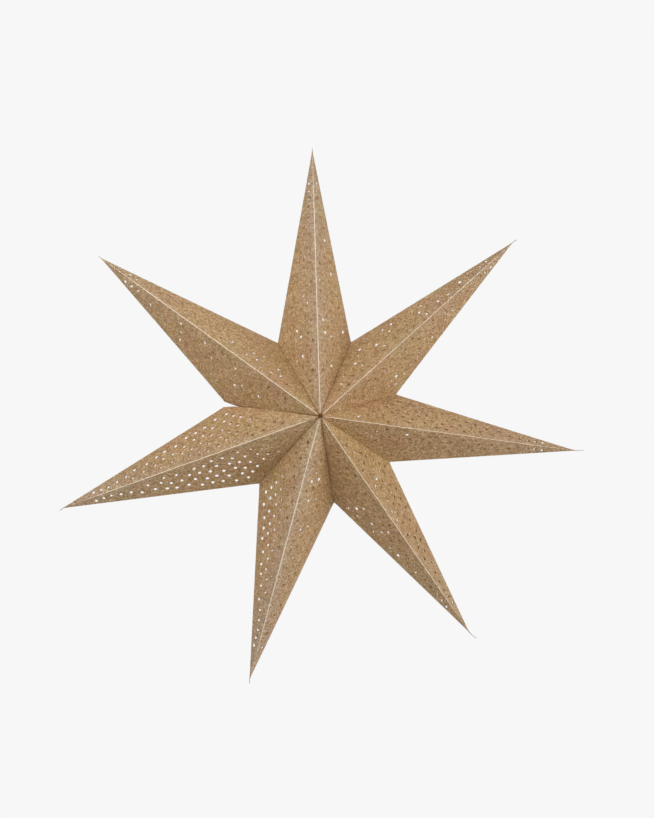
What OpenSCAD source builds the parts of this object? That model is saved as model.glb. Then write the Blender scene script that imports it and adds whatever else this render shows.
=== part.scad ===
// Seven-pointed star of folded card, closed into a ring of hollow points.
// The star stands in the XZ plane, its front towards -Y and its first point up.
// Each point is one folded sheet: four faces, creased at a front ridge, a back
// ridge and two outline edges, with a glue flange turned in along each seam.

/* [Star] */
// Distance from the star's axis to the tips
star_r = 300; // [200:1:400]
// Distance from the axis to the valleys between the points
valley_r = 95; // [75:1:130]
// Thickness of the whole star, from front apex to back apex
depth = 150; // [80:1:220]
// Radius of the hole that the cut corners leave round the axis
hub_r = 3; // [2:0.5:6]

/* [Card] */
// Thickness of the card
card_t = 0.4; // [0.3:0.1:0.8]
// Thickness of the glue film between two flanges
glue_t = 0.1; // [0.05:0.05:0.3]
// Width of the glue flanges
flange_w = 9; // [6:0.5:14]
// Distance of the glue lap inside the back ridge from the holes and the flange
// beside it
lap_clear = 0.5; // [0.5:0.5:2]
// Distance from the tip to the end of the glue lap
lap_start = 25; // [15:1:60]
// Distance from the tip at which a point starts to draw out into its whisker
neck = 4; // [3:0.5:6]
// Half width of a whisker at its end
whisker_r = 0.3; // [0.2:0.05:0.5]

/* [Punched holes] */
// Diameter of the punched holes
hole_d = 4; // [2:0.5:5]
// Distance between two holes of a row
hole_pitch = 13; // [10:0.5:20]
// Distance between two rows of holes
row_pitch = 9.5; // [8:0.5:16]
// How far a hole may lie off its row's regular place
hole_wobble = 1.4; // [0:0.1:1.5]
// Distance from the outline edge to the first row
edge_margin = 12; // [9:0.5:16]
// Least distance from the ridge to a hole's centre
ridge_margin = 7; // [5:0.5:12]
// Least distance from the seam to a hole's centre
seam_margin = 9; // [6:0.5:16]
// Distance from the tip to the first of the lead holes, which follow the ridge
lead_start = 39; // [30:1:60]
// Distance between two lead holes
lead_pitch = 9; // [7:0.5:12]

/* [Open seam] */
// Angle by which the unglued seam gapes
seam_gape = 3.6; // [3:0.1:6]
// Diameter of the touch-fastener dots
dot_d = 8; // [5:0.5:9]
// Distance from the axis to the dots, measured along the seam's valley direction
dot_place = 57; // [45:1:65]
// Clearance between the two dots of a pair
dot_gap = 0.1; // [0.05:0.05:0.3]

/* [Hidden] */

// The star is spread by hand, so its points and seams aren't evenly spaced.
// Directions are degrees clockwise from straight up, one for each point or for
// the seam that follows it, and the spreads are millimetres on the two radii.
tip_dir = [-1, 48, 97, 144.5, 194.5, 250.5, 306.5];
tip_spread = [3.5, -0.5, -5, -5, 1.5, 1, 2];
seam_dir = [24, 73, 121, 168.5, 221.5, 278.5, 332.5];
seam_spread = [-1, -2, 0, 1, 2.5, 10.5, 0.5];
whisker_l = [1, 4, 8, 9, 3, 3, 2];

// How far the rows of holes in the left and right back faces of each point lie
// off those in front, along the outline: where they match, light shines through
back_slip = [[5.5, 12], [8, 12], [4, 2], [2, 11.5], [6.5, 0], [-0.5, 0], [7.5, 4]];

open_seam = 5;
first_open = 6;

front = -1;
back = 1;
half_depth = depth / 2;
card_colour = "#b08d5f";
hook_colour = "#e9e6df";
loop_colour = "#f2f0ea";
lead_holes = 3;
max_rows = 20;
max_in_row = 40;
punch_reach = 1;
flange_end_share = 0.85;
lap_w = ridge_margin - hole_d / 2 - lap_clear;

// Plain vector and plane geometry, a plane being its normal and its offset
function unit(v) = v / norm(v);
function ray(dir) = [sin(dir), 0, cos(dir)];
function turn_right(dir) = [cos(dir), 0, -sin(dir)];
function plane(n, p) = [unit(n), unit(n) * p];
function sunk(pl, by) = [pl[0], pl[1] - by];
function facing(n, from, at) = n * (at - from) < 0 ? -n : n;
function meet(a, b, c) =
    (a[1] * cross(b[0], c[0]) + b[1] * cross(c[0], a[0]) + c[1] * cross(a[0], b[0]))
    / (a[0] * cross(b[0], c[0]));

// Directions of a point's two seams, the side -1 or 1 being left or right of it
function prev(i) = (i + 6) % 7;
function seam_of(i, side) = side > 0 ? i : prev(i);
function gape_of(i, side) = seam_of(i, side) == open_seam ? -side * seam_gape / 2 : 0;
function corner_dir(i, side) = seam_dir[seam_of(i, side)] + gape_of(i, side);
function corner_r(i, side) = valley_r + seam_spread[seam_of(i, side)];

// Corners of the uncut faces
function apex(face) = [0, face * half_depth, 0];
function tip(i) = (star_r + tip_spread[i]) * ray(tip_dir[i]);
function corner(i, side) = corner_r(i, side) * ray(corner_dir(i, side));

// Outer planes of the card: a face, and the flange along a seam
function face_plane(i, face, side) =
    let (a = apex(face), t = tip(i), c = corner(i, side))
    plane(facing(cross(t - a, c - a), [0, 0, 0], a), a);
function flange_plane(i, side) =
    let (n = side * turn_right(corner_dir(i, side)))
    [n, seam_of(i, side) == open_seam ? 0 : -glue_t / 2];
function hub_plane(dir) = [ray(dir), hub_r];

// Points of the folded sheet, by depth into the card: 0 outside, card_t inside
function ridge_hub(i, face, in) =
    meet(sunk(face_plane(i, face, -1), in), sunk(face_plane(i, face, 1), in), hub_plane(tip_dir[i]));
function seam_hub(i, face, side, in) =
    meet(sunk(face_plane(i, face, side), in), sunk(flange_plane(i, side), in),
         hub_plane(corner_dir(i, side)));
function valley(i, side, in) =
    meet(sunk(face_plane(i, front, side), in), sunk(face_plane(i, back, side), in),
         sunk(flange_plane(i, side), in));
function inner_tip(i) =
    meet(sunk(face_plane(i, front, -1), card_t), sunk(face_plane(i, front, 1), card_t),
         sunk(face_plane(i, back, 1), card_t));
function neck_ridge(i, face) = tip(i) + neck * unit(apex(face) - tip(i));
function neck_edge(i, side) = tip(i) + neck * unit(valley(i, side, 0) - tip(i));
function whisker_end(i, off) = tip(i) + whisker_l[i] * ray(tip_dir[i]) + whisker_r * off;

// Direction across a flange, away from the seam and into the star
function inward(n, along, face) =
    let (across = unit(cross(n, along)))
    across[1] * face > 0 ? -across : across;

// Free corners of a flange, the end "near" being 1 at the hub and -1 at the valley
function flange_corner(i, face, side, near, in) =
    let (
        s = seam_hub(i, face, side, 0),
        v = valley(i, side, 0),
        along = unit(v - s),
        n = flange_plane(i, side)[0],
        across = inward(n, along, face),
        slope = atan2(abs(along[1]), norm([along[0], along[2]])),
        cut = flange_end_share * (near > 0 ? 90 - slope : slope),
        start = near > 0 ? s : v
    )
    start + near * along * flange_w / tan(cut) + across * flange_w - n * in;

// Hole places on one face, as distances from the tip along the ridge and off it
function wobble(j, k) = hole_wobble * [cos(101 * j + 59 * k), sin(137 * j + 71 * k)];
function lead_places() =
    [for (m = [0:lead_holes - 1]) [lead_start + m * lead_pitch, ridge_margin]];
function row_start(slip) = lead_start + lead_holes * lead_pitch + slip;
function row_place(j, k, slant, slip) =
    let (
        w = wobble(j, k),
        along = row_start(slip) + (j + (k % 2) / 2) * hole_pitch + w[0],
        in = edge_margin + k * row_pitch + w[1]
    )
    [along * cos(slant) + in * sin(slant), along * sin(slant) - in * cos(slant)];
function off_seam(p, ridge_l, v) =
    let (d = unit([ridge_l, 0] - v), q = p - v)
    d[0] * q[1] - d[1] * q[0];
function row_places(ridge_l, v, slip) =
    let (slant = atan2(v[1], v[0]))
    [for (k = [0:max_rows], j = [0:max_in_row])
        let (p = row_place(j, k, slant, slip))
        if (p[1] >= ridge_margin && -off_seam(p, ridge_l, v) >= seam_margin) p];

// Cylinders that punch one face, square to the card
module punches(i, face, side) {
    t = tip(i);
    u = unit(apex(face) - t);
    n = face_plane(i, face, side)[0];
    c = corner(i, side) - t;
    w = unit(c - (c * u) * u);
    slip = face == back ? back_slip[i][side > 0 ? 1 : 0] : 0;
    at = concat(lead_places(), row_places(norm(apex(face) - t), [c * u, c * w], slip));
    right_handed = cross(u, w) * n > 0 ? 1 : -1;
    z = right_handed * n;
    base = t - n * card_t / 2;
    for (p = at)
        multmatrix([[u[0], w[0], z[0], base[0] + p[0] * u[0] + p[1] * w[0]],
                    [u[1], w[1], z[1], base[1] + p[0] * u[1] + p[1] * w[1]],
                    [u[2], w[2], z[2], base[2] + p[0] * u[2] + p[1] * w[2]],
                    [0, 0, 0, 1]])
            cylinder(d = hole_d, h = 2 * punch_reach, center = true, $fn = 24);
}

// The folded sheet of one point as a single closed solid, before punching.
// Outer points come first: two at each ridge, two at each outline edge, three
// at each flange and four at the whisker's end. The inner ones follow.
sides = [[front, -1], [back, -1], [back, 1], [front, 1]];
function outer_points(i) = concat(
    [ridge_hub(i, front, 0), neck_ridge(i, front), ridge_hub(i, back, 0), neck_ridge(i, back)],
    [valley(i, -1, 0), neck_edge(i, -1), valley(i, 1, 0), neck_edge(i, 1)],
    [for (q = sides) each [seam_hub(i, q[0], q[1], 0), flange_corner(i, q[0], q[1], 1, 0),
                           flange_corner(i, q[0], q[1], -1, 0)]],
    [whisker_end(i, [0, -1, 0]), whisker_end(i, -turn_right(tip_dir[i])),
     whisker_end(i, [0, 1, 0]), whisker_end(i, turn_right(tip_dir[i]))]);
function inner_points(i) = concat(
    [ridge_hub(i, front, card_t), ridge_hub(i, back, card_t)],
    [valley(i, -1, card_t), valley(i, 1, card_t), inner_tip(i)],
    [for (q = sides) each [seam_hub(i, q[0], q[1], card_t),
                           flange_corner(i, q[0], q[1], 1, card_t),
                           flange_corner(i, q[0], q[1], -1, card_t)]]);

// Faces of one quarter of the sheet, clockwise from outside when flip is false
function quad(a, b, c, d) = [[a, b, c], [a, c, d]];
function wound(faces, flip) = [for (f = faces) flip ? [for (k = [len(f) - 1:-1:0]) f[k]] : f];
function quarter(q) =
    let (
        is_front = sides[q][0] == front,
        is_left = sides[q][1] < 0,
        ridge = is_front ? 0 : 2,
        edge = is_left ? 4 : 6,
        own = 8 + 3 * q,
        ridge_in = is_front ? 24 : 25,
        edge_in = is_left ? 26 : 27,
        own_in = 29 + 3 * q,
        tip_in = 28,
        end_ridge = is_front ? 20 : 22,
        end_edge = is_left ? 21 : 23
    )
    wound(concat(
        [[ridge, own, edge, edge + 1, ridge + 1]],
        [[own, own + 1, own + 2, edge]],
        [[ridge + 1, edge + 1, end_edge, end_ridge]],
        [[ridge_in, tip_in, edge_in, own_in]],
        [[own_in, edge_in, own_in + 2, own_in + 1]],
        quad(ridge, ridge_in, own_in, own),
        quad(own, own_in, own_in + 1, own + 1),
        quad(own + 1, own_in + 1, own_in + 2, own + 2),
        quad(own + 2, own_in + 2, edge_in, edge)),
        is_front != is_left);

module folded_sheet(i) {
    polyhedron(points = concat(outer_points(i), inner_points(i)),
               faces = concat([for (q = [0:3]) each quarter(q)], [[20, 21, 22, 23]]),
               convexity = 8);
}

// Distance from the axis at which the glue lap of point i ends, so that its
// whole width clears the flange of the left seam
function lap_hub_r(i) =
    (lap_w + card_t + lap_clear) / sin(acos(ray(tip_dir[i]) * ray(corner_dir(i, -1))));

// The lap that closes the sheet: a strip folded in at the back ridge and glued
// to the inside of the left back face. It starts half a card deep in both walls.
module glue_lap(i) {
    left = face_plane(i, back, -1);
    right = sunk(face_plane(i, back, 1), card_t / 2);
    u = unit(apex(back) - tip(i));
    w = unit(cross(left[0], u)) * (cross(left[0], u) * turn_right(tip_dir[i]) < 0 ? 1 : -1);
    ends = [plane(u, tip(i) + lap_start * u), [ray(tip_dir[i]), lap_hub_r(i)]];
    p = [for (e = ends, deep = [card_t / 2, 2 * card_t])
            each [meet(sunk(left, deep), right, e), meet(sunk(left, deep), right, e) + lap_w * w]];
    polyhedron(points = p,
               faces = concat(quad(0, 2, 3, 1), quad(4, 5, 7, 6), quad(0, 1, 5, 4),
                              quad(2, 6, 7, 3), quad(0, 4, 6, 2), quad(1, 3, 7, 5)));
}

module point(i) {
    color(card_colour)
        difference() {
            union() {
                folded_sheet(i);
                glue_lap(i);
            }
            for (q = sides)
                punches(i, q[0], q[1]);
        }
}

// One touch-fastener dot, lying on a flange of the open seam and trimmed to
// half of the gap: side 1 lies on point 6 and side -1 on point 7
module dot(face, side, tint) {
    i = side > 0 ? open_seam : first_open;
    s = seam_hub(i, face, side, 0);
    along = unit(valley(i, side, 0) - s);
    n = flange_plane(i, side)[0];
    across = cross(n, along);
    reach = (dot_place - hub_r) / norm([along[0], along[2]]);
    at = s + reach * along + inward(n, along, face) * flange_w / 2;
    color(tint)
        difference() {
            multmatrix([[along[0], across[0], n[0], at[0]],
                        [along[1], across[1], n[1], at[1]],
                        [along[2], across[2], n[2], at[2]],
                        [0, 0, 0, 1]])
                cylinder(d = dot_d, h = dot_d, $fn = 48);
            rotate([0, seam_dir[open_seam], 0])
                translate([side * (star_r - dot_gap / 2), 0, 0])
                    cube(2 * star_r, center = true);
        }
}

module point_1() { point(0); }
module point_2() { point(1); }
module point_3() { point(2); }
module point_4() { point(3); }
module point_5() { point(4); }
module point_6() { point(5); }
module point_7() { point(6); }
module front_hook_dot() { dot(front, 1, hook_colour); }
module front_loop_dot() { dot(front, -1, loop_colour); }
module back_hook_dot() { dot(back, 1, hook_colour); }
module back_loop_dot() { dot(back, -1, loop_colour); }

point_1();
point_2();
point_3();
point_4();
point_5();
point_6();
point_7();
front_hook_dot();
front_loop_dot();
back_hook_dot();
back_loop_dot();
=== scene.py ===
import math

import bpy
from mathutils import Matrix, Vector
from mathutils.geometry import delaunay_2d_cdt


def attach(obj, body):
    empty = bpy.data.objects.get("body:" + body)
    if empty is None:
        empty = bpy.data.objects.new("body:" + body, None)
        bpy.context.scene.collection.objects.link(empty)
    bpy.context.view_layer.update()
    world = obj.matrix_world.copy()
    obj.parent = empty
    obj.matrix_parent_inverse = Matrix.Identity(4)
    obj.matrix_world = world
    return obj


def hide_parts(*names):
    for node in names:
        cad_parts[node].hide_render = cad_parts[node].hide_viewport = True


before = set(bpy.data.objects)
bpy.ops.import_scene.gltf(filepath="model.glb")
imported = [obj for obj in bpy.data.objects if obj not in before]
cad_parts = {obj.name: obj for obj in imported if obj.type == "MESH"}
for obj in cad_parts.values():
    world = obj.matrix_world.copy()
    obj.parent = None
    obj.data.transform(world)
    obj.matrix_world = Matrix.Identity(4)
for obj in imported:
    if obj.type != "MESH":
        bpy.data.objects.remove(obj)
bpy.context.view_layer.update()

bl_info = {
    "name": "Folded Card Star",
    "version": (1, 0, 0),
    "blender": (4, 5, 0),
    "location": "3D View > Sidebar > Card Star",
    "description": "Folds, punches and finishes a seven-pointed star of glitter card",
    "category": "Object",
}

MM = 0.001

# The star's own measures in millimetres and degrees, the same as in the part's source
POINTS = 7
STAR_R = 300.0
VALLEY_R = 95.0
HALF_DEPTH = 75.0
HUB_R = 3.0
CARD_T = 0.4
GLUE_T = 0.1
FLANGE_W = 9.0
FLANGE_END_SHARE = 0.85
LAP_START = 25.0
LAP_W = 4.5
LAP_CLEAR = 0.5
NECK = 4.0
WHISKER_R = 0.3
HOLE_R = 2.0
HOLE_PITCH = 13.0
ROW_PITCH = 9.5
HOLE_WOBBLE = 1.4
EDGE_MARGIN = 12.0
RIDGE_MARGIN = 7.0
SEAM_MARGIN = 9.0
LEAD_START = 39.0
LEAD_PITCH = 9.0
LEAD_HOLES = 3
MAX_ROWS = 20
MAX_IN_ROW = 40
SEAM_GAPE = 3.6
DOT_D = 8.0
DOT_PLACE = 57.0
DOT_GAP = 0.1
TIP_DIR = [-1, 48, 97, 144.5, 194.5, 250.5, 306.5]
TIP_SPREAD = [3.5, -0.5, -5, -5, 1.5, 1, 2]
SEAM_DIR = [24, 73, 121, 168.5, 221.5, 278.5, 332.5]
SEAM_SPREAD = [-1, -2, 0, 1, 2.5, 10.5, 0.5]
WHISKER_L = [1, 4, 8, 9, 3, 3, 2]
# How far the hole rows of each point's left and right back face are slipped towards the hub
BACK_SLIP = [(5.5, 12), (8, 12), (4, 2), (2, 11.5), (6.5, 0), (-0.5, 0), (7.5, 4)]
# The seam that isn't glued, clockwise of the point with the same number
OPEN_SEAM = 5
FRONT, BACK = -1, 1
LEFT, RIGHT = -1, 1

# What only the visual has, in millimetres too

# How far each whisker's end is bent sideways, clockwise being positive
WHISKER_BEND = [0, 0.8, -1.7, -2.6, -1.3, -1.7, 0.1]
# Distance over which a pinched tip loses its four-sided form, by a factor of e
PINCH_L = 3.0
# Share of the card's thickness that is lost at a whisker's end, and the height of the end's dome
END_THINNING = 0.65
END_DOME = 0.12
# How far the middle of each face stands out of its flat: left and right front, left and right back
BULGE = [(0.4, 0.3, 0.3, -0.2), (0.5, -0.3, 0.2, 0.4), (-0.3, 0.4, 0.4, -0.3),
         (0.4, 0.3, -0.3, 0.5), (2.0, 0.8, 0.4, 0.3), (0.5, 0.3, 0.3, 0.4), (0.4, 0.6, -0.3, 0.3)]
# A face bulges fully where the product of its distances off ridge, edge and seam reaches that
# of a share of the ridge's length, a share of the edge's length and a distance
BULGE_OFF_RIDGE = 0.09
BULGE_OFF_EDGE = 0.06
BULGE_OFF_SEAM = 30.0
# Largest radius of a crease, as a share of its distance from the tip and from the valley
TIP_EASING = 0.09
VALLEY_EASING = 0.25
# How sharply each seam is creased, as a share of the fold radius
SEAM_FOLD = [0.8, 0.35, 0.3, 0.7, 0.3, 0.4, 0.9]
# Half of the gap between the two edges of the open seam, by distance from the axis, and how far
# to both sides of a place it is evened out
OPEN_HALF_GAP = [(0, 0.35), (20, 0.42), (34, 0.38), (42, 0.06), (70, 0.06), (80, 0.2), (88, 0.3),
                 (98, 1.5), (106, 3.2)]
GAP_EVENED = 3.0
# How far from the open seam a face leans with it, how far its flange does at a dot and away from
# it, and over which distance that grows
FACE_LEAN = 28.0
FLANGE_LEAN = (0.9, 4.0)
FLANGE_LEAN_GROWS = 10.0

# How strongly the coating is cracked along each front ridge, and how far from the hub the crack
# starts; the same for the back ridges
CRACK = [1.0, 0.9, 0.85, 1.0, 0.9, 1.0, 1.0]
CRACK_START = [2, 2, 2, 2, 2, 11, 2]
BACK_CRACK = 0.5
BACK_CRACK_START = 4
# Lengths over which the crack grows and fades, and its distance from the tip
CRACK_GROWS = 4.0
CRACK_FADES = 60.0
CRACK_END = 6.0
# How strongly a sheen is painted into the coat, as greyer colour standing in for a whitish
# reflection, beside each point's ridges and at its tip, and how far that reaches from them
SHEEN_BESIDE_RIDGE = [1.0, 0.3, 0.1, 0.1, 1.0, 0.5, 0.3]
SHEEN_AT_TIP = 0.5
SHEEN_OFF_RIDGE = 14.0
SHEEN_FROM_TIP = 130.0
# Distance off a ridge, crack and painted sheen: of card far from any ridge, and of a whisker's end
UNMARKED = (9.0, 0.0, 0.0)
END_MARKS = (9.0, 0.0, 1.0)

# How the blanks are divided. Rows across the tip, by distance from it, become the whisker
TIP_ROWS = (0.15, 0.5, 0.9, 1.35, 1.8, 2.3, 2.8, 3.4, NECK)
TIP_COLUMNS = 3
HOLE_SIDES = 16
EDGE_STEP = 5
SEAM_STEP = 4
FLANGE_STEP = 6
LAP_STEPS = 24
# Extra points near the ends of a crease
HUB_EXTRA = (1.2,)
VALLEY_EXTRA = (0.8, 2)
# Rows beside the creases, as shares of the fold radius, and the outer rows
FOLD_ROWS = (1 / 3, 2 / 3, 1)
OUTER_ROW = 2.2
FLANGE_OUTER_ROW = 4.5
# Where those rows start and end; a slope is a distance by how far off its crease the row is
ROW_PAST_NECK = 0.6
ROW_TIP_SLOPE = 9.5
ROW_TO_HUB = 0.4
ROW_TO_VALLEY = 0.5
ROW_VALLEY_SLOPE = 1.2
ROW_TO_SEAM_END = 1.2
ROW_TO_FLANGE_END = 0.3
# Loose points that carry the bulge, and how far they keep off creases, holes' rims and the hub
GRID_STEP = 6.5
GRID_START = (2, 3.5)
GRID_OFF_CREASE = 3.4
GRID_OFF_HOLE = 1.4
GRID_OFF_HUB = 3
# Least height of a triangle, and the share of a hole's radius within which triangles are left out
SLIVER = 0.001
PUNCHED = 0.97
# Points nearer than this are welded, and edges flatter than this many degrees shade smooth
WELD = 0.002
CARD_SMOOTH = 32
# The glue lap: its glue, its crease, where it lies flat, and how far its outer end slants
LAP_GLUE = 0.04
LAP_CREASE = 0.3
LAP_FLAT = 1.0
LAP_SLANT = 5.0

# The fastener dots: a disc's sides, its rim's rounding as a share of its backing, a loop's and a
# hook's width as a share of its height and thickness as a share of its width, how far it sinks
# in, its pitch and distance from the rim, and smoothing in degrees
DOT_SIDES = 48
DOT_RIM = 0.2
PILE_W = {"loop": 0.42, "hook": 0.3}
PILE_T = 0.28
PILE_SINK = 0.02
PILE_PITCH = 0.95
PILE_MARGIN = 0.6
PILE_ROWS = range(-4, 5)
DOT_SMOOTH = 35

# The stage, in metres and watts. Name, place, width and power of the soft lamps round the star
LAMPS = [
    ("lamp_right", (2.25, -1.3, 0.0), 1.8, 39.0),
    ("lamp_left", (-2.25, -1.3, 0.0), 1.8, 6.5),
    ("lamp_high_left", (-1.6, -1.3, 1.6), 1.8, 15.5),
    ("lamp_low_right", (1.2, -1.9, -1.2), 1.8, 5.7),
    ("lamp_near_left", (-0.3, -0.7, 0.4), 0.5, 3.0),
    ("lamp_near_right", (0.3, -0.7, 0.4), 0.5, 1.1),
    ("lamp_back", (0.3, 2.4, 1.0), 1.8, 34.0),
]
# Distance from the axis and power of the faint lights inside each point, for the light that
# pale card lets through, each point's share of them, and their radius
GLOWS = [(0.05, 0.006), (0.10, 0.006), (0.155, 0.004), (0.2, 0.002), (0.235, 0.001),
         (0.26, 0.0004)]
GLOW_SHARE = [1.4, 1.3, 0.6, 0.6, 1.1, 1.1, 1.4]
GLOW_R = 0.003
FLOOR_R = 4
FLOOR_SIDES = 96
# The floor passes into the surround between these distances from the star's axis
FLOOR_FADE = (0.25, 0.6)
CAMERA_PLACE = (-0.09, -1.9, -0.065)
CAMERA_LENS_MM = 74.8
CAMERA_SENSOR_MM = 36
CAMERA_SHIFT = (0.0122, 0.0115)


def linear(code):
    """Turns an sRGB hex colour into linear red, green and blue."""
    parts = [int(code[k:k + 2], 16) / 255 for k in (1, 3, 5)]
    return tuple(p / 12.92 if p <= 0.04045 else ((p + 0.055) / 1.055) ** 2.4 for p in parts)


def colour_property(name, description, code):
    return bpy.props.FloatVectorProperty(name=name, description=description, default=linear(code),
                                         subtype="COLOR", size=3, min=0, max=1)


class CARDSTAR_PG_card(bpy.types.PropertyGroup):
    """Sizes and colours of the folded card."""
    fold_radius: bpy.props.FloatProperty(
        name="Fold radius", description="How far from a crease the card starts to bend",
        default=0.0008, min=0.0001, unit="LENGTH")
    bulge: bpy.props.FloatProperty(
        name="Bulge", description="Scales how far the faces stand out of their flat",
        default=1.0, min=0, subtype="FACTOR")
    flake_size: bpy.props.FloatProperty(
        name="Flake size", description="Width of one glitter flake as drawn",
        default=0.0011, min=0.0002, unit="LENGTH")
    crack_width: bpy.props.FloatProperty(
        name="Crack width", description="Half width of the bare line along a ridge",
        default=0.0005, min=0, unit="LENGTH")
    flake_dark: colour_property("Dark flakes", "Flakes that look away from the light", "#8F6B3F")
    flake_mid: colour_property("Plain flakes", "Flakes that lie flat", "#B08F64")
    flake_pale: colour_property("Bright flakes", "Flakes that catch the light", "#D4B693")
    # Colour that the coat loses where a sheen is painted into it, standing in for a whitish
    # reflection
    sheen_fading: bpy.props.FloatProperty(
        name="Rub fading", description="Colour that the coat loses where handling has rubbed it",
        default=0.22, min=0, max=1, subtype="FACTOR")
    crack_colour: colour_property("Crack colour", "Bare card under the cracked coating", "#EADCC8")
    inside_colour: colour_property("Inside colour", "Uncoated inside of the card", "#D6B88C")
    edge_colour: colour_property("Cut edge colour", "Core of the card at cuts and holes", "#C9B595")


class CARDSTAR_PG_fastener(bpy.types.PropertyGroup):
    """Sizes and colours of the touch-fastener dots."""
    backing: bpy.props.FloatProperty(
        name="Backing thickness", description="Thickness of a dot under its hooks or loops",
        default=0.0006, min=0.0001, unit="LENGTH")
    hook_colour: colour_property("Hook colour", "Moulded hooks", "#E9E6DF")
    loop_colour: colour_property("Loop colour", "Knitted loops", "#F2F0EA")


class CARDSTAR_PG_stage(bpy.types.PropertyGroup):
    """The plain studio round the star."""
    floor_drop: bpy.props.FloatProperty(
        name="Floor drop", description="Distance from the star's axis down to the floor",
        default=0.6, min=0.32, unit="LENGTH")
    surround: colour_property("Surround colour", "Background as the camera sees it", "#F7F7F7")
    ambient: bpy.props.FloatProperty(
        name="Ambient level", description="Strength of the even light from all round",
        default=0.05, min=0)


# ---- the star's construction, as in the part's source ----

def ray(turn):
    """Unit vector in the star's plane, so many degrees clockwise from straight up."""
    a = math.radians(turn)
    return Vector((math.sin(a), 0, math.cos(a)))


def turn_right(turn):
    """Unit vector in the star's plane, square to that ray and clockwise of it."""
    a = math.radians(turn)
    return Vector((math.cos(a), 0, -math.sin(a)))


def meet(*planes):
    """Point that three planes share, each a normal and an offset."""
    rows = Matrix([p[0] for p in planes])
    return rows.inverted() @ Vector([p[1] for p in planes])


def seam_of(i, side):
    return i if side == RIGHT else (i - 1) % POINTS


def is_open(i, side):
    return seam_of(i, side) == OPEN_SEAM


def corner_dir(i, side):
    gape = -side * SEAM_GAPE / 2 if is_open(i, side) else 0
    return SEAM_DIR[seam_of(i, side)] + gape


def corner(i, side):
    return (VALLEY_R + SEAM_SPREAD[seam_of(i, side)]) * ray(corner_dir(i, side))


def apex(face):
    return Vector((0, face * HALF_DEPTH, 0))


def tip(i):
    return (STAR_R + TIP_SPREAD[i]) * ray(TIP_DIR[i])


def face_plane(i, face, side):
    a = apex(face)
    n = (tip(i) - a).cross(corner(i, side) - a).normalized()
    n = -n if n.dot(a) < 0 else n
    return n, n.dot(a)


def flange_plane(i, side):
    return side * turn_right(corner_dir(i, side)), 0 if is_open(i, side) else -GLUE_T / 2


def hub_plane(turn):
    return ray(turn), HUB_R


def ridge_hub(i, face):
    return meet(face_plane(i, face, LEFT), face_plane(i, face, RIGHT), hub_plane(TIP_DIR[i]))


def seam_hub(i, face, side):
    return meet(face_plane(i, face, side), flange_plane(i, side), hub_plane(corner_dir(i, side)))


def valley(i, side):
    return meet(face_plane(i, FRONT, side), face_plane(i, BACK, side), flange_plane(i, side))


def lap_hub_r(i):
    """Distance from the axis at which the glue lap ends, clear of the left seam's flange."""
    return (LAP_W + CARD_T + LAP_CLEAR) / math.sin(ray(TIP_DIR[i]).angle(ray(corner_dir(i, LEFT))))


def wobble(j, k):
    """How far hole j of row k is off its place, along its row and across it."""
    return (HOLE_WOBBLE * math.cos(math.radians(101 * j + 59 * k)),
            HOLE_WOBBLE * math.sin(math.radians(137 * j + 71 * k)))


def hole_places(ridge_l, v, slip):
    """Centres of the punched holes of one face, from the tip along the ridge and off it."""
    slant = math.atan2(v.y, v.x)
    seam = (Vector((ridge_l, 0)) - v).normalized()
    places = [Vector((LEAD_START + m * LEAD_PITCH, RIDGE_MARGIN)) for m in range(LEAD_HOLES)]
    start = LEAD_START + LEAD_HOLES * LEAD_PITCH + slip
    for k in range(MAX_ROWS + 1):
        for j in range(MAX_IN_ROW + 1):
            w = wobble(j, k)
            along = start + (j + (k % 2) / 2) * HOLE_PITCH + w[0]
            inside = EDGE_MARGIN + k * ROW_PITCH + w[1]
            p = Vector((along * math.cos(slant) + inside * math.sin(slant),
                        along * math.sin(slant) - inside * math.cos(slant)))
            q = p - v
            if p.y >= RIDGE_MARGIN and q.x * seam.y - q.y * seam.x >= SEAM_MARGIN:
                places.append(p)
    return places


class Facet:
    """One flat face of a point, with its place on the blank and in the star."""

    def __init__(self, i, face, side):
        self.face, self.side = face, side
        # From the tip t, u runs along the ridge and w off it; n points out of the face
        self.t = tip(i)
        self.u = (apex(face) - self.t).normalized()
        c = corner(i, side) - self.t
        self.w = (c - c.dot(self.u) * self.u).normalized()
        self.n = face_plane(i, face, side)[0]
        self.flipped = self.u.cross(self.w).dot(self.n) < 0
        self.ridge_end = self.flat(ridge_hub(i, face))
        self.seam_end = self.flat(seam_hub(i, face, side))
        self.valley = self.flat(valley(i, side))
        self.slant = math.atan2(self.valley.y, self.valley.x)
        self.edge_dir = self.valley.normalized()
        self.edge_in = Vector((self.edge_dir.y, -self.edge_dir.x))
        self.seam_dir = (self.seam_end - self.valley).normalized()
        self.seam_in = Vector((-self.seam_dir.y, self.seam_dir.x))
        if self.seam_in.dot(-self.valley) < 0:
            self.seam_in = -self.seam_in
        self.ridge_l = (apex(face) - self.t).length

    def flat(self, p):
        """Place on the blank, from the tip along the ridge and off it, of a place in the star."""
        return Vector(((p - self.t).dot(self.u), (p - self.t).dot(self.w)))

    def space(self, p):
        """Place in the star of a place on the blank."""
        return self.t + p.x * self.u + p.y * self.w

    def way(self, d):
        """Direction in the star of a direction on the blank."""
        return d.x * self.u + d.y * self.w


# ---- how the card bends ----

def share(a, b, t):
    return a + (b - a) * t


def clamped(x, low=0.0, high=1.0):
    return max(low, min(high, x))


def open_half_gap(r):
    """Half of the open seam's gap at a distance from the axis, evened out except at its end."""
    def at(x):
        for (x0, g0), (x1, g1) in zip(OPEN_HALF_GAP, OPEN_HALF_GAP[1:]):
            if x <= x1:
                return share(g0, g1, clamped((x - x0) / (x1 - x0)))
        return OPEN_HALF_GAP[-1][1]
    if r > OPEN_HALF_GAP[-1][0] - GAP_EVENED:
        return at(r)
    return sum(at(r + GAP_EVENED * k / 2) for k in range(-2, 3)) / 5


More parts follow.
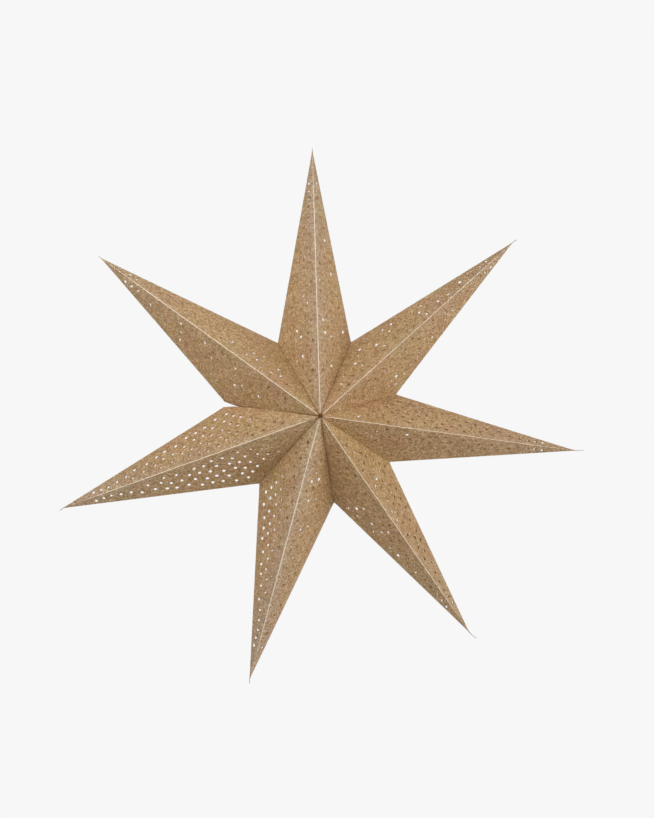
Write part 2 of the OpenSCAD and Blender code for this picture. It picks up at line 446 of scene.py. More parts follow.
def lean(i, side, p, reach, off):
    """How far the card leans over to its neighbour, off from the open seam's crease.

    From reach on it no longer does.
    """
    if not is_open(i, side):
        return Vector((0, 0, 0))
    r = p.dot(ray(corner_dir(i, side)))
    most = r * math.sin(math.radians(SEAM_GAPE / 2)) - open_half_gap(r)
    return flange_plane(i, side)[0] * most * (1 - clamped(off / reach)) ** 2


def rounding(s, r, own, other):
    """Shift of a point, s from a crease, that makes the sharp fold an arc starting r from it."""
    if r <= 0 or s >= r:
        return Vector((0, 0, 0))
    t = (1 - s / r) / 2
    return r * ((1 - t) ** 2 * own + t ** 2 * other) - s * own


def eased(radius, to_valley):
    """Radius of a crease, which gets sharp where it runs into the valley."""
    return min(radius, VALLEY_EASING * max(to_valley, 0))


def tip_row_point(slant, rho, c):
    """Point of a row across the tip, rho out along its creases, c from ridge to edge."""
    a = Vector((rho, 0))
    b = rho * Vector((math.cos(slant), math.sin(slant)))
    return a.lerp(b, c)


class Point:
    """The folded sheet of one point of the star, before it gets its thickness."""

    def __init__(self, i, settings):
        self.i = i
        self.axis, self.sideways = ray(TIP_DIR[i]), turn_right(TIP_DIR[i])
        self.fold_r = settings.fold_radius / MM
        self.seam_r = {s: self.fold_r * SEAM_FOLD[seam_of(i, s)] for s in (LEFT, RIGHT)}
        self.facets = {(f, s): Facet(i, f, s) for f in (FRONT, BACK) for s in (LEFT, RIGHT)}
        self.crown = {key: b * settings.bulge for key, b in zip(self.facets, BULGE[i])}
        self.verts, self.faces, self.weight = [], [], []
        self.marks = {"ridge_mm": [], "crack": [], "painted_sheen": []}

    def add(self, places, polygons, flip):
        """Adds a patch: places with their marks and share of the card's thickness, and polygons."""
        start = len(self.verts)
        for place, marks, weight in places:
            self.verts.append(place)
            self.weight.append(weight)
            for values, mark in zip(self.marks.values(), marks):
                values.append(mark)
        for polygon in polygons:
            polygon = [start + k for k in polygon]
            self.faces.append(polygon[::-1] if flip else polygon)

    def folded(self, facet, p):
        """Place in the star of a point of the face, creases rounded and the face bulged."""
        face, side = facet.face, facet.side
        beside = self.facets[(face, -side)]
        behind = self.facets[(-face, side)]
        off_ridge = max(p.y, 0)
        off_edge = max(p.dot(facet.edge_in), 0)
        off_seam = max((p - facet.valley).dot(facet.seam_in), 0)
        tip_r = TIP_EASING * p.length
        shift = rounding(off_ridge, min(self.fold_r, tip_r), facet.w, beside.w)
        edge_r = min(tip_r, eased(self.fold_r, facet.valley.length - p.dot(facet.edge_dir)))
        shift += rounding(off_edge, edge_r, facet.way(facet.edge_in), behind.way(behind.edge_in))
        seam_r = eased(self.seam_r[side], (p - facet.valley).dot(facet.seam_dir))
        shift += rounding(off_seam, seam_r, facet.way(facet.seam_in), self.across(facet))
        full = (facet.ridge_l * BULGE_OFF_RIDGE * facet.valley.length * BULGE_OFF_EDGE
                * BULGE_OFF_SEAM)
        crown = self.crown[(face, side)]
        shift += facet.n * crown * min(1.0, off_ridge * off_edge * off_seam / full)
        at = facet.space(p)
        return at + shift + lean(self.i, side, at, min(FACE_LEAN, off_seam + off_ridge), off_seam)

    def across(self, facet):
        """Direction across the flange, from its crease into the star."""
        s = seam_hub(self.i, facet.face, facet.side)
        along = (valley(self.i, facet.side) - s).normalized()
        d = flange_plane(self.i, facet.side)[0].cross(along).normalized()
        return -d if d.y * facet.face > 0 else d

    def drawn_out(self, facet, p):
        """Place of a point of the face and its share of the card's thickness.

        The last few millimetres are pinched and drawn out into the whisker.
        """
        half = facet.slant / 2
        angle = math.atan2(p.y, p.x) - half
        rho = p.length * math.cos(angle) / math.cos(half)
        if rho >= NECK:
            return self.folded(facet, p), 1.0
        neck = self.folded(facet, p * (NECK / rho)) - facet.t
        neck_x = neck.dot(self.axis)
        neck_off = neck - neck_x * self.axis
        turn = clamped(0.5 + 0.5 * math.tan(angle) / math.tan(half)) * math.pi / 2
        end_off = WHISKER_R * (math.cos(turn) * Vector((0, facet.face, 0))
                               + math.sin(turn) * facet.side * self.sideways)
        whisker_l = WHISKER_L[self.i]
        length = NECK + whisker_l
        go = (NECK - rho) / (NECK - TIP_ROWS[0])
        fade, last = math.exp(-go * length / PINCH_L), math.exp(-length / PINCH_L)
        keep = (fade - last) / (1 - last)
        place = facet.t + share(neck_x, whisker_l, go) * self.axis
        place += keep * neck_off + (1 - keep) * end_off
        place += WHISKER_BEND[self.i] * go * go * self.sideways
        return place, 1 - END_THINNING * math.sqrt(go)

    def face_marks(self, facet, p):
        """Distance off the ridge, how cracked the coat is there, and how much sheen is painted
        there.
        """
        strength, start = BACK_CRACK, BACK_CRACK_START
        if facet.face == FRONT:
            strength, start = CRACK[self.i], CRACK_START[self.i]
        from_hub = facet.ridge_end.x - p.x
        fade = (clamped((from_hub - start) / CRACK_GROWS)
                * clamped((p.x - CRACK_END) / CRACK_FADES))
        # Painted sheen: strongest beside the ridges of some points and towards the tip
        painted_sheen = clamped(SHEEN_BESIDE_RIDGE[self.i] * math.exp(-p.y / SHEEN_OFF_RIDGE)
                         + SHEEN_AT_TIP * clamped(1 - p.x / SHEEN_FROM_TIP))
        return p.y, strength * fade, painted_sheen

    def make_faces(self):
        for side in (LEFT, RIGHT):
            for face in (FRONT, BACK):
                slip = 0 if face == FRONT else BACK_SLIP[self.i][0 if side == LEFT else 1]
                flats, triangles = cut_face(self.facets[(FRONT, side)], self.fold_r,
                                            self.seam_r[side], slip)
                facet = self.facets[(face, side)]
                places = []
                for p in flats:
                    place, weight = self.drawn_out(facet, p)
                    places.append((place, self.face_marks(facet, p), weight))
                self.add(places, triangles, facet.flipped)

    def make_flanges(self):
        for (face, side), facet in self.facets.items():
            s = seam_hub(self.i, face, side)
            v = valley(self.i, side)
            along = (v - s).normalized()
            across = self.across(facet)
            slope = math.degrees(math.atan2(abs(along.y), math.hypot(along.x, along.z)))
            length = (v - s).length
            near = FLANGE_W / math.tan(math.radians(FLANGE_END_SHARE * (90 - slope)))
            far = FLANGE_W / math.tan(math.radians(FLANGE_END_SHARE * slope))
            seam_r = self.seam_r[side]
            flats, triangles = cut_flange(length, near, length - far, seam_r)
            places = []
            for p in flats:
                crease = s + p.x * along
                at = crease + p.y * across + rounding(p.y, eased(seam_r, length - p.x), across,
                                                      facet.way(facet.seam_in))
                from_dot = abs(crease.dot(ray(corner_dir(self.i, side))) - DOT_PLACE) - DOT_D / 2
                reach = share(*FLANGE_LEAN, clamped(from_dot / FLANGE_LEAN_GROWS))
                at += lean(self.i, side, crease, reach, p.y)
                places.append((at, UNMARKED, 1.0))
            n = flange_plane(self.i, side)[0]
            self.add(places, triangles, along.cross(across).dot(n) < 0)

    def make_lap(self):
        """The lap glued inside the left back face, folded in from the right one at the ridge."""
        facet = self.facets[(BACK, LEFT)]
        deep = CARD_T + LAP_GLUE
        columns = [(LAP_CREASE, LAP_CREASE), (LAP_FLAT, deep), (LAP_W, deep)]
        stop = facet.ridge_end.x - (lap_hub_r(self.i) - HUB_R) / abs(facet.u.dot(self.axis))
        places = []
        for k in range(LAP_STEPS + 1):
            for n, (off, depth) in enumerate(columns):
                x = share(LAP_START, stop, k / LAP_STEPS) + (LAP_SLANT * n if k == 0 else 0)
                at = self.folded(facet, Vector((x, off))) - depth * facet.n
                places.append((at, UNMARKED, 1.0))
        quads = []
        for k in range(LAP_STEPS):
            for n in range(len(columns) - 1):
                a = k * len(columns) + n
                quads.append([a, a + len(columns), a + len(columns) + 1, a + 1])
        self.add(places, quads, facet.flipped)

    def make_end(self):
        """Closes the end of the whisker with a low dome."""
        ring = []
        for face, side, columns in ((FRONT, RIGHT, (0, 1, 2)), (BACK, RIGHT, (3, 2, 1)),
                                    (BACK, LEFT, (0, 1, 2)), (FRONT, LEFT, (3, 2, 1))):
            facet = self.facets[(face, side)]
            for c in columns:
                p = tip_row_point(facet.slant, TIP_ROWS[0], c / TIP_COLUMNS)
                ring.append(self.drawn_out(facet, p)[0])
        middle = (tip(self.i) + (WHISKER_L[self.i] + END_DOME) * self.axis
                  + WHISKER_BEND[self.i] * self.sideways)
        places = [(p, END_MARKS, 1 - END_THINNING) for p in ring + [middle]]
        count = len(ring)
        flip = (ring[0] - middle).cross(ring[1] - middle).dot(self.axis) < 0
        self.add(places, [[k, (k + 1) % count, count] for k in range(count)], flip)


# ---- flat blanks ----

class Blank:
    """Points and lines of a flat part that is to be triangulated."""

    def __init__(self):
        self.points, self.lines = [], []

    def line(self, places, closed=False):
        start = len(self.points)
        self.points.extend(places)
        stop = len(self.points)
        self.lines.extend((k, k + 1) for k in range(start, stop - 1))
        if closed:
            self.lines.append((stop - 1, start))

    def triangulated(self, holes=()):
        """Points and counter-clockwise triangles, without the holes and without slivers."""
        within_outline, near = 1, 1e-6
        flats, _, triangles, *_ = delaunay_2d_cdt(self.points, self.lines, [], within_outline,
                                                  near, False)
        kept = []
        for triangle in triangles:
            a, b, c = (flats[k] for k in triangle)
            twice_area = (b - a).cross(c - a)
            longest = max((b - a).length, (c - b).length, (a - c).length)
            centre = (a + b + c) / 3
            solid = all((centre - h).length > HOLE_R * PUNCHED for h in holes)
            if abs(twice_area) > longest * SLIVER and solid:
                kept.append(triangle if twice_area > 0 else triangle[::-1])
        return flats, kept


def spaced(a, b, step, ends=()):
    """Distances from a to b about a step apart, with extra ones near the ends."""
    count = max(2, round((b - a) / step))
    extra = [a + e for e in ends if e < step] + [b - e for e in ends if e < step]
    return sorted(set([a + (b - a) * k / count for k in range(count + 1)] + extra))


def cut_face(facet, fold_r, seam_r, slip):
    """Triangulates the blank of one face: outline, rows along its creases and punched holes."""
    blank = Blank()
    ridge_x = facet.ridge_end.x
    edge_l = facet.valley.length
    seam_l = (facet.seam_end - facet.valley).length

    # Outline, and the rows across the tip
    blank.line([Vector((x, 0))
                for x in [*TIP_ROWS[:-1], *spaced(NECK, ridge_x, EDGE_STEP, HUB_EXTRA)]])
    blank.line([x * facet.edge_dir
                for x in [*TIP_ROWS[:-1], *spaced(NECK, edge_l, EDGE_STEP, VALLEY_EXTRA)]])
    blank.line([facet.valley + x * facet.seam_dir
                for x in spaced(0, seam_l, SEAM_STEP, VALLEY_EXTRA)])
    blank.line([facet.ridge_end, facet.seam_end])
    for rho in TIP_ROWS:
        blank.line([tip_row_point(facet.slant, rho, c / TIP_COLUMNS)
                    for c in range(TIP_COLUMNS + 1)])

    # Rows beside the creases, where the card bends
    for portion in (*FOLD_ROWS, OUTER_ROW / fold_r):
        off = portion * fold_r
        start = max(NECK + ROW_PAST_NECK, off * ROW_TIP_SLOPE)
        blank.line([Vector((x, off)) for x in spaced(start, ridge_x - ROW_TO_HUB - off, EDGE_STEP)])
        blank.line([x * facet.edge_dir + off * facet.edge_in
                    for x in spaced(start, edge_l - ROW_VALLEY_SLOPE * off - ROW_TO_VALLEY,
                                    EDGE_STEP)])
        off = portion * seam_r if portion <= 1 else off
        blank.line([facet.valley + x * facet.seam_dir + off * facet.seam_in
                    for x in spaced(ROW_VALLEY_SLOPE * off + ROW_TO_VALLEY,
                                    seam_l - ROW_TO_SEAM_END - off, SEAM_STEP)])

    # Punched holes, and loose points between them that carry the bulge
    holes = hole_places(facet.ridge_l, facet.valley, slip)
    for h in holes:
        blank.line([h + HOLE_R * Vector((math.cos(a), math.sin(a)))
                    for a in (math.tau * k / HOLE_SIDES for k in range(HOLE_SIDES))], closed=True)
    for row in range(int(facet.valley.y / GRID_STEP) + 2):
        for col in range(int(facet.ridge_l / GRID_STEP) + 2):
            p = Vector(((col + (row % 2) / 2) * GRID_STEP + GRID_START[0],
                        row * GRID_STEP + GRID_START[1]))
            inside = min(p.y, p.dot(facet.edge_in), (p - facet.valley).dot(facet.seam_in))
            clear = all((p - h).length > HOLE_R + GRID_OFF_HOLE for h in holes)
            if inside > GRID_OFF_CREASE and clear and p.x < ridge_x - GRID_OFF_HUB:
                blank.points.append(p)
    return blank.triangulated(holes)


def cut_flange(length, near, far, seam_r):
    """Triangulates a glue flange: its crease lies along the bottom, its ends are cut slanting."""
    blank = Blank()
    blank.line([Vector((length - x, 0)) for x in spaced(0, length, SEAM_STEP, VALLEY_EXTRA)])
    blank.line([Vector((x, FLANGE_W)) for x in spaced(near, far, FLANGE_STEP)])
    for bottom, top in ((0, near), (length, far)):
        blank.line([Vector((bottom, 0)), Vector(((bottom + top) / 2, FLANGE_W / 2)),
                    Vector((top, FLANGE_W))])
    for off in (seam_r / 3, seam_r * 2 / 3, seam_r, OUTER_ROW, FLANGE_OUTER_ROW):
        start = near * off / FLANGE_W + ROW_TO_FLANGE_END
        stop = length - (length - far) * off / FLANGE_W - ROW_TO_FLANGE_END
        blank.line([Vector((x, off)) for x in spaced(start, stop, SEAM_STEP)])
    return blank.triangulated()


# ---- small helpers for Blender objects and materials ----

def only(obj):
    """Selects this object alone and makes it active."""
    bpy.ops.object.select_all(action="DESELECT")
    obj.select_set(True)
    bpy.context.view_layer.objects.active = obj


def cleared(name, store):
    """A new material or world of that name in its store, with an empty node tree."""
    owner = store.new(name)
    owner.use_nodes = True
    owner.node_tree.nodes.clear()
    return owner


def add(tree, kind, settings=None, *inputs, **named):
    """Adds a node with its settings, and sets or links its inputs, in order or by name.

    A node that is given for an input stands for its first output.
    """
    node = tree.nodes.new(kind)
    for name, value in (settings or {}).items():
        setattr(node, name, value)
    sockets = [s for s in node.inputs if s.enabled]
    by_name = {s.name.replace(" ", "_"): s for s in sockets}
    given = [*zip(sockets, inputs), *((by_name[name], value) for name, value in named.items())]
    for socket, value in given:
        if isinstance(value, bpy.types.Node):
            value = next(s for s in value.outputs if s.enabled)
        if isinstance(value, bpy.types.NodeSocket):
            tree.links.new(value, socket)
        elif socket.type == "RGBA":
            socket.default_value = (*value, 1)
        else:
            socket.default_value = value
    return node


# Kinds and settings of nodes that come back often
MATH, VECTOR_MATH, MIX = "ShaderNodeMath", "ShaderNodeVectorMath", "ShaderNodeMix"
RANGE, NOISE, CELLS = "ShaderNodeMapRange", "ShaderNodeTexNoise", "ShaderNodeTexVoronoi"
COLOURS = {"data_type": "RGBA"}


def flake_colour(t, s, place, flake, clump):
    """Tan speckle of flakes and wider clumps, with soft clouds in its light and its hue."""
    # Clumps make a third of the speckle
    level = add(t, MIX, None, 0.35, flake, clump)
    tan = add(t, MIX, COLOURS, add(t, RANGE, None, level, From_Min=0.08, From_Max=0.5),
              s.flake_dark, s.flake_mid)
    tan = add(t, MIX, COLOURS, add(t, RANGE, None, level, From_Min=0.5, From_Max=0.92),
              tan, s.flake_pale)
    # Its light wanders in patches of about 22 mm and its hue in ones of about 36 mm
    cloud = add(t, NOISE, None, Vector=place, Scale=45.0, Detail=3.0, Roughness=0.6)
    shade = add(t, RANGE, None, cloud, To_Min=0.88, To_Max=1.12)
    tan = add(t, MIX, {**COLOURS, "blend_type": "MULTIPLY"}, 1.0, tan, shade)
    patch = add(t, NOISE, None, Vector=place, Scale=28.0, Detail=2.0)
    hue = add(t, RANGE, None, patch, To_Min=0.52, To_Max=0.48)
    # It is painted greyer beside some ridges and towards the tip, a painted sheen for a whitish
    # reflection
    painted_sheen = add(t, "ShaderNodeAttribute", {"attribute_name": "painted_sheen"}).outputs["Fac"]
    saturation = add(t, RANGE, None, painted_sheen, To_Min=1.03, To_Max=1.03 - s.sheen_fading)
    return add(t, "ShaderNodeHueSaturation", None, Hue=hue, Saturation=saturation, Color=tan)


def bared(t, s, place):
    """How far the coat has come off: fully in a line along the ridge, with a ragged border."""
    off = add(t, "ShaderNodeAttribute", {"attribute_name": "ridge_mm"}).outputs["Fac"]
    crack = add(t, "ShaderNodeAttribute", {"attribute_name": "crack"}).outputs["Fac"]
    # The border's teeth are about 1.4 mm long
    rag = add(t, NOISE, None, Vector=place, Scale=700.0, Detail=2.0)
    half_width = s.crack_width / MM
    width = add(t, RANGE, None, rag, To_Min=0.8 * half_width, To_Max=1.4 * half_width)
    within = add(t, MATH, {"operation": "DIVIDE"}, off, width)
    return add(t, RANGE, None, within, From_Min=0.75, From_Max=1.0, To_Min=crack, To_Max=0.0)


def askew(t, flakes):
    """Normal of the coat, in which each flake lies a little askew, to take light its own way."""
    tilt = add(t, VECTOR_MATH, {"operation": "SUBTRACT"}, flakes.outputs["Color"], (0.5, 0.5, 0.5))
    tilt = add(t, VECTOR_MATH, {"operation": "SCALE"}, tilt, Scale=0.35)
    normal = add(t, "ShaderNodeNewGeometry").outputs["Normal"]
    normal = add(t, VECTOR_MATH, {"operation": "ADD"}, normal, tilt)
    normal = add(t, VECTOR_MATH, {"operation": "NORMALIZE"}, normal)
    return add(t, "ShaderNodeBump", None, Strength=0.35, Distance=0.0002,
               Height=flakes.outputs["Distance"], Normal=normal)


def glitter_card(s):
    """Card with a rolled-on coat of metallised polyester flakes in clear lacquer.

    The eye sees a warm tan speckle in which single flakes flash pale or fall dark, broken by a
    cream line of bare card where the fold at a ridge has cracked the coat. Real flakes are about
    0.4 mm wide. They are drawn wider so that they show, with clumps 1.7 times as wide.
    """
    m = cleared("glitter_card_rolled", bpy.data.materials)
    t = m.node_tree
    place = add(t, "ShaderNodeTexCoord").outputs["Object"]
    flakes = add(t, CELLS, None, Vector=place, Scale=1 / s.flake_size)
    clumps = add(t, CELLS, None, Vector=place, Scale=0.6 / s.flake_size)
    flake = add(t, "ShaderNodeSeparateColor", None, flakes.outputs["Color"])
    clump = add(t, "ShaderNodeSeparateColor", None, clumps.outputs["Color"])
    bare = bared(t, s, place)
    colour = add(t, MIX, COLOURS, bare, flake_colour(t, s, place, flake, clump), s.crack_colour)
    metal = add(t, RANGE, None, bare, To_Min=0.1, To_Max=0.0)
    rough = add(t, RANGE, None, flake.outputs["Green"], To_Min=0.4, To_Max=0.6)
    rough = add(t, MATH, {"operation": "MULTIPLY_ADD"}, bare, 0.35, rough)
    card = add(t, "ShaderNodeBsdfPrincipled", None, Base_Color=colour, Metallic=metal,
               Roughness=rough, Specular_IOR_Level=0.3, Normal=askew(t, flakes))
    add(t, "ShaderNodeOutputMaterial", None, Surface=card)
    return m


def bare_card(name, colour, contrast):
    """Uncoated pressed pulp: matt, with short fibres and faint clouds in its brown."""
    m = cleared(name, bpy.data.materials)
    t = m.node_tree
    place = add(t, "ShaderNodeTexCoord").outputs["Object"]
    # Clouds of about 8 mm
    cloud = add(t, NOISE, None, Vector=place, Scale=120.0, Detail=4.0)
    # Fibres are about 0.1 mm thick and are drawn up to 1.1 mm wide so that they show
    fibre = add(t, NOISE, None, Vector=place, Scale=900.0, Detail=3.0, Distortion=1.5)
    mixed = add(t, MIX, None, 0.5, cloud, fibre)
    low = [c * (1 - contrast) for c in colour]
    high = [min(1.0, c * (1 + contrast)) for c in colour]
    tone = add(t, MIX, COLOURS, add(t, RANGE, None, mixed, From_Min=0.3, From_Max=0.7), low, high)
    relief = add(t, "ShaderNodeBump", None, Strength=0.25, Distance=0.0001, Height=fibre)
    card = add(t, "ShaderNodeBsdfPrincipled", None, Base_Color=tone, Roughness=0.9, Normal=relief)
    add(t, "ShaderNodeOutputMaterial", None, Surface=card)
    return m


def nylon(name, colour, roughness):
    """Nylon of a touch fastener: off-white, a little uneven where the yarn or moulding shows."""
    m = cleared(name, bpy.data.materials)
    t = m.node_tree
    place = add(t, "ShaderNodeTexCoord").outputs["Object"]
    # Ribs of the tape, 0.8 mm apart
    ribs = add(t, "ShaderNodeTexWave", {"bands_direction": "Y"}, Vector=place, Scale=400.0,
               Distortion=1.0).outputs["Fac"]
    tone = add(t, MIX, COLOURS, ribs, [c * 0.82 for c in colour], colour)
    relief = add(t, "ShaderNodeBump", None, Strength=0.3, Distance=0.0001, Height=ribs)
    card = add(t, "ShaderNodeBsdfPrincipled", None, Base_Color=tone, Roughness=roughness,
               Normal=relief)
    add(t, "ShaderNodeOutputMaterial", None, Surface=card)
    return m


# ---- operators ----

def sheet_object(name, point):
    """Makes the folded surface a mesh, welds its facets at the creases and gives it a wall."""
    mesh = bpy.data.meshes.new(name)
    mesh.from_pydata([tuple(v * MM) for v in point.verts], [], point.faces)
    for key, values in point.marks.items():
        mesh.attributes.new(key, "FLOAT", "POINT").data.foreach_set("value", values)
    obj = bpy.data.objects.new(name, mesh)
    bpy.context.scene.collection.objects.link(obj)
    group = obj.vertex_groups.new(name="thickness")
    for k, weight in enumerate(point.weight):
        group.add([k], weight, "REPLACE")
    only(obj)
    bpy.ops.object.mode_set(mode="EDIT")
    bpy.ops.mesh.select_all(action="SELECT")
    bpy.ops.mesh.remove_doubles(threshold=WELD * MM)
    bpy.ops.object.mode_set(mode="OBJECT")
    wall = obj.modifiers.new("wall", "SOLIDIFY")
    wall.thickness = CARD_T * MM
    wall.offset = -1
    wall.use_even_offset = False
    wall.vertex_group = "thickness"
    wall.thickness_vertex_group = 0
    wall.material_offset = 1
    wall.material_offset_rim = 2
    return obj


class CARDSTAR_OT_points(bpy.types.Operator):
    """Fold the seven points from punched card"""
    bl_idname = "cardstar.points"
    bl_label = "Fold Points"
    bl_options = {"REGISTER", "UNDO"}

    def execute(self, context):
        settings = context.scene.cardstar_card
        finishes = [glitter_card(settings),
                    bare_card("brown_card_uncoated", settings.inside_colour, contrast=0.12),
                    bare_card("card_core_cut", settings.edge_colour, contrast=0.08)]
        for i in range(POINTS):
            point = Point(i, settings)
            point.make_faces()
            point.make_flanges()
            point.make_lap()
            point.make_end()
            obj = sheet_object(f"card_point_{i + 1}", point)
            for finish in finishes:
                obj.data.materials.append(finish)
            bpy.ops.object.modifier_apply(modifier="wall")
            bpy.ops.object.shade_smooth_by_angle(angle=math.radians(CARD_SMOOTH))
            obj.vertex_groups.clear()
            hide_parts(f"point_{i + 1}")
            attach(obj, "root")
        return {"FINISHED"}


def dot_places():
    """Node, kind, seating matrix and thickness of each fastener dot."""
    rows = []
    for face, where in ((FRONT, "front"), (BACK, "back")):
        for i, side, kind in ((OPEN_SEAM, RIGHT, "hook"), (OPEN_SEAM + 1, LEFT, "loop")):
            s = seam_hub(i, face, side)
            along = (valley(i, side) - s).normalized()
            n = flange_plane(i, side)[0]
            across = n.cross(along)
            inward = -across if across.y * face > 0 else across
            reach = (DOT_PLACE - HUB_R) / math.hypot(along.x, along.z)
            at = s + reach * along + inward * FLANGE_W / 2
            seat = Matrix((along, across, n)).transposed().to_4x4()
            seat.translation = at * MM
            gap = at.dot(ray(corner_dir(i, side))) * math.sin(math.radians(SEAM_GAPE / 2))
            rows.append((f"{where}_{kind}_dot", kind, seat, (gap - DOT_GAP / 2) * MM))
    return rows


class CARDSTAR_OT_fasteners(bpy.types.Operator):
    """Model the touch-fastener dots that close the open seam"""
    bl_idname = "cardstar.fasteners"
    bl_label = "Seam Fasteners"
    bl_options = {"REGISTER", "UNDO"}

    def execute(self, context):
        settings = context.scene.cardstar_fastener
        finishes = {"hook": nylon("nylon_hooks_moulded", settings.hook_colour, roughness=0.45),
                    "loop": nylon("nylon_loops_knitted", settings.loop_colour, roughness=0.85)}
        for node, kind, seat, thick in dot_places():
            obj = self.dot(f"fastener_{node}", kind, settings.backing, thick)
            obj.data.transform(seat)
            obj.data.materials.clear()
            obj.data.materials.append(finishes[kind])
            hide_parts(node)
            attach(obj, "root")
        return {"FINISHED"}

    def dot(self, name, kind, backing, thick):
        """A die-cut disc of tape, with a field of stalks or loops on it."""
        disc = self.disc(name, backing)
        self.pile(kind, backing, thick - backing)
        disc.select_set(True)
        bpy.context.view_layer.objects.active = disc
        bpy.ops.object.join()
        bpy.ops.object.shade_smooth_by_angle(angle=math.radians(DOT_SMOOTH))
        return disc

    def disc(self, name, backing):
        bpy.ops.object.select_all(action="DESELECT")
        bpy.ops.mesh.primitive_cylinder_add(vertices=DOT_SIDES, radius=DOT_D / 2 * MM,
                                            depth=backing, location=(0, 0, backing / 2))
        disc = bpy.context.object
        disc.name = disc.data.name = name
        bpy.ops.object.transform_apply(location=True, rotation=True, scale=True)
        bpy.ops.object.mode_set(mode="EDIT")
        bpy.ops.mesh.select_all(action="SELECT")
        bpy.ops.mesh.bevel(offset=backing * DOT_RIM, segments=2, affect="EDGES")
        bpy.ops.object.mode_set(mode="OBJECT")
        return disc

    def pile(self, kind, backing, tall):
        """Stands one upright ring of yarn on the disc and repeats it, and leaves it selected."""
        wide = tall * PILE_W[kind]
        bpy.ops.object.select_all(action="DESELECT")
        bpy.ops.mesh.primitive_torus_add(major_radius=wide, minor_radius=wide * PILE_T,
                                         major_segments=10, minor_segments=5,
                                         rotation=(math.pi / 2, 0, 0))
        yarn = bpy.context.object
        bpy.ops.object.transform_apply(location=True, rotation=True, scale=True)
        rise = tall / (2 * wide * (1 + PILE_T))
        yarn.data.transform(Matrix.Translation((0, 0, backing + tall / 2 - PILE_SINK * MM))
                            @ Matrix.Diagonal((1, 1, rise, 1)))
        pitch = PILE_PITCH * MM
        at = [((col + (row % 2) / 2) * pitch, row * pitch)
              for row in PILE_ROWS for col in PILE_ROWS]
        at = [p for p in at if math.hypot(*p) < (DOT_D / 2 - PILE_MARGIN) * MM]
        only(yarn)
        bpy.ops.object.mode_set(mode="EDIT")
        bpy.ops.mesh.select_all(action="SELECT")
        bpy.ops.transform.translate(value=(*at[0], 0))
        for (x0, y0), (x1, y1) in zip(at, at[1:]):
            bpy.ops.mesh.duplicate()
            bpy.ops.transform.translate(value=(x1 - x0, y1 - y0, 0))
        bpy.ops.object.mode_set(mode="OBJECT")


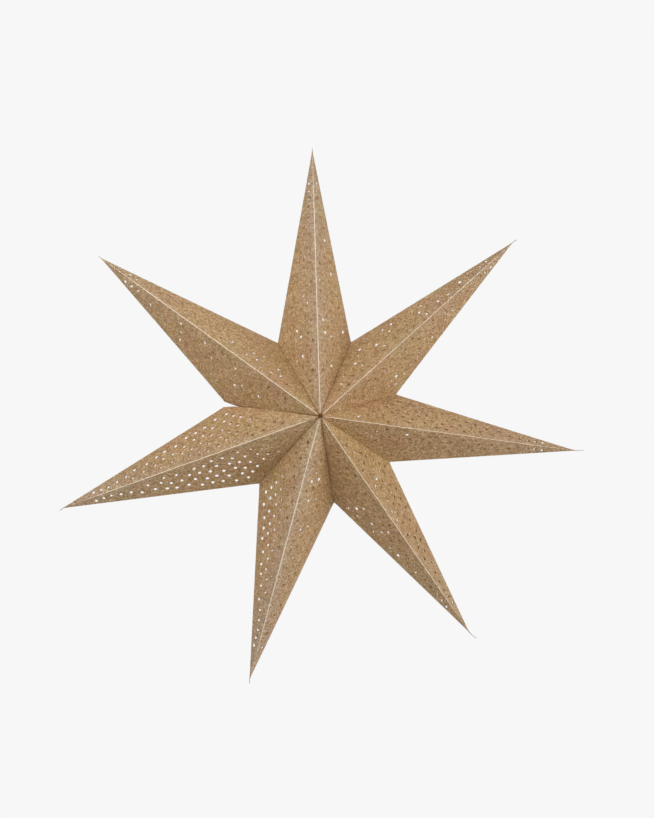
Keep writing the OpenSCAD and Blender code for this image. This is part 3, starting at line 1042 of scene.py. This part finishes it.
class CARDSTAR_OT_stage(bpy.types.Operator):
    """Set up the floor, the surround, the lamps and the camera"""
    bl_idname = "cardstar.stage"
    bl_label = "Stage"
    bl_options = {"REGISTER", "UNDO"}

    def execute(self, context):
        settings = context.scene.cardstar_stage
        self.world(context.scene, settings)
        self.floor(settings)
        for name, place, width, power in LAMPS:
            self.lamp(name, Vector(place), width, power)
        for i, turn in enumerate(TIP_DIR):
            for k, (out, power) in enumerate(GLOWS):
                self.glow(f"glow_{i + 1}_{k + 1}", out * ray(turn), power * GLOW_SHARE[i])
        self.camera(context.scene)
        context.scene.view_settings.view_transform = "Standard"
        return {"FINISHED"}

    def seen(self, tree):
        """1 for rays that see the surround as such: from the camera, by gloss or through glass."""
        path = add(tree, "ShaderNodeLightPath").outputs
        either = {"operation": "MAXIMUM"}
        direct = add(tree, MATH, either, path["Is Camera Ray"], path["Is Glossy Ray"])
        return add(tree, MATH, either, direct, path["Is Transmission Ray"])

    def world(self, scene, settings):
        world = cleared("studio_air", bpy.data.worlds)
        scene.world = world
        t = world.node_tree
        strength = add(t, RANGE, None, self.seen(t), To_Min=settings.ambient, To_Max=1.0)
        sky = add(t, "ShaderNodeBackground", None, Color=settings.surround, Strength=strength)
        add(t, "ShaderNodeOutputWorld", None, Surface=sky)

    def floor(self, settings):
        """A pale floor that keeps the star's shadow and fades into the surround further out."""
        bpy.ops.object.select_all(action="DESELECT")
        bpy.ops.mesh.primitive_circle_add(vertices=FLOOR_SIDES, radius=FLOOR_R, fill_type="NGON",
                                          location=(0, 0, -settings.floor_drop))
        floor = bpy.context.object
        floor.name = floor.data.name = "studio_floor"
        bpy.ops.object.transform_apply(location=True, rotation=True, scale=True)
        m = cleared("floor_matt_paint", bpy.data.materials)
        t = m.node_tree
        place = add(t, "ShaderNodeTexCoord").outputs["Object"]
        level = add(t, VECTOR_MATH, {"operation": "MULTIPLY"}, place, (1, 1, 0))
        out = add(t, VECTOR_MATH, {"operation": "LENGTH"}, level)
        fade = add(t, RANGE, {"interpolation_type": "SMOOTHSTEP"}, out, *FLOOR_FADE)
        paint = add(t, "ShaderNodeBsdfDiffuse", None, Color=settings.surround)
        plain = add(t, "ShaderNodeEmission", None, Color=settings.surround, Strength=1.0)
        shown = add(t, MATH, {"operation": "MULTIPLY"}, self.seen(t), fade)
        mixed = add(t, "ShaderNodeMixShader", None, shown, paint, plain)
        add(t, "ShaderNodeOutputMaterial", None, Surface=mixed)
        floor.data.materials.append(m)

    def lamp(self, name, place, width, power):
        data = bpy.data.lights.new(name, "AREA")
        data.shape, data.size, data.energy = "DISK", width, power
        lamp = bpy.data.objects.new(name, data)
        lamp.location = place
        lamp.rotation_euler = (-place).to_track_quat("-Z", "Y").to_euler()
        bpy.context.scene.collection.objects.link(lamp)

    def glow(self, name, place, power):
        data = bpy.data.lights.new(name, "POINT")
        data.shadow_soft_size, data.energy = GLOW_R, power
        glow = bpy.data.objects.new(name, data)
        glow.location = place
        glow.visible_camera = False
        bpy.context.scene.collection.objects.link(glow)

    def camera(self, scene):
        """A long lens a little left of and below the star's axis."""
        data = bpy.data.cameras.new("camera")
        data.lens, data.sensor_width = CAMERA_LENS_MM, CAMERA_SENSOR_MM
        data.shift_x, data.shift_y = CAMERA_SHIFT
        camera = bpy.data.objects.new("camera", data)
        camera.location = CAMERA_PLACE
        camera.rotation_euler = (-camera.location).to_track_quat("-Z", "Y").to_euler()
        scene.collection.objects.link(camera)
        scene.camera = camera


class CARDSTAR_PT_panel(bpy.types.Panel):
    """Lists the star's pieces and its stage"""
    bl_idname = "CARDSTAR_PT_panel"
    bl_label = "Card Star"
    bl_space_type = "VIEW_3D"
    bl_region_type = "UI"
    bl_category = "Card Star"

    def draw(self, context):
        layout = self.layout
        for operator, group in ((CARDSTAR_OT_points, "cardstar_card"),
                                (CARDSTAR_OT_fasteners, "cardstar_fastener"),
                                (CARDSTAR_OT_stage, "cardstar_stage")):
            box = layout.box()
            settings = getattr(context.scene, group)
            for name in settings.__annotations__:
                box.prop(settings, name)
            box.operator(operator.bl_idname)


GROUPS = {"cardstar_card": CARDSTAR_PG_card, "cardstar_fastener": CARDSTAR_PG_fastener,
          "cardstar_stage": CARDSTAR_PG_stage}
CLASSES = [*GROUPS.values(), CARDSTAR_OT_points, CARDSTAR_OT_fasteners, CARDSTAR_OT_stage,
           CARDSTAR_PT_panel]


def register():
    for cls in CLASSES:
        bpy.utils.register_class(cls)
    for name, group in GROUPS.items():
        setattr(bpy.types.Scene, name, bpy.props.PointerProperty(type=group))


def unregister():
    for name in GROUPS:
        delattr(bpy.types.Scene, name)
    for cls in reversed(CLASSES):
        bpy.utils.unregister_class(cls)


def main():
    register()
    bpy.ops.cardstar.points()
    bpy.ops.cardstar.fasteners()
    bpy.ops.cardstar.stage()


if __name__ == "__main__":
    main()
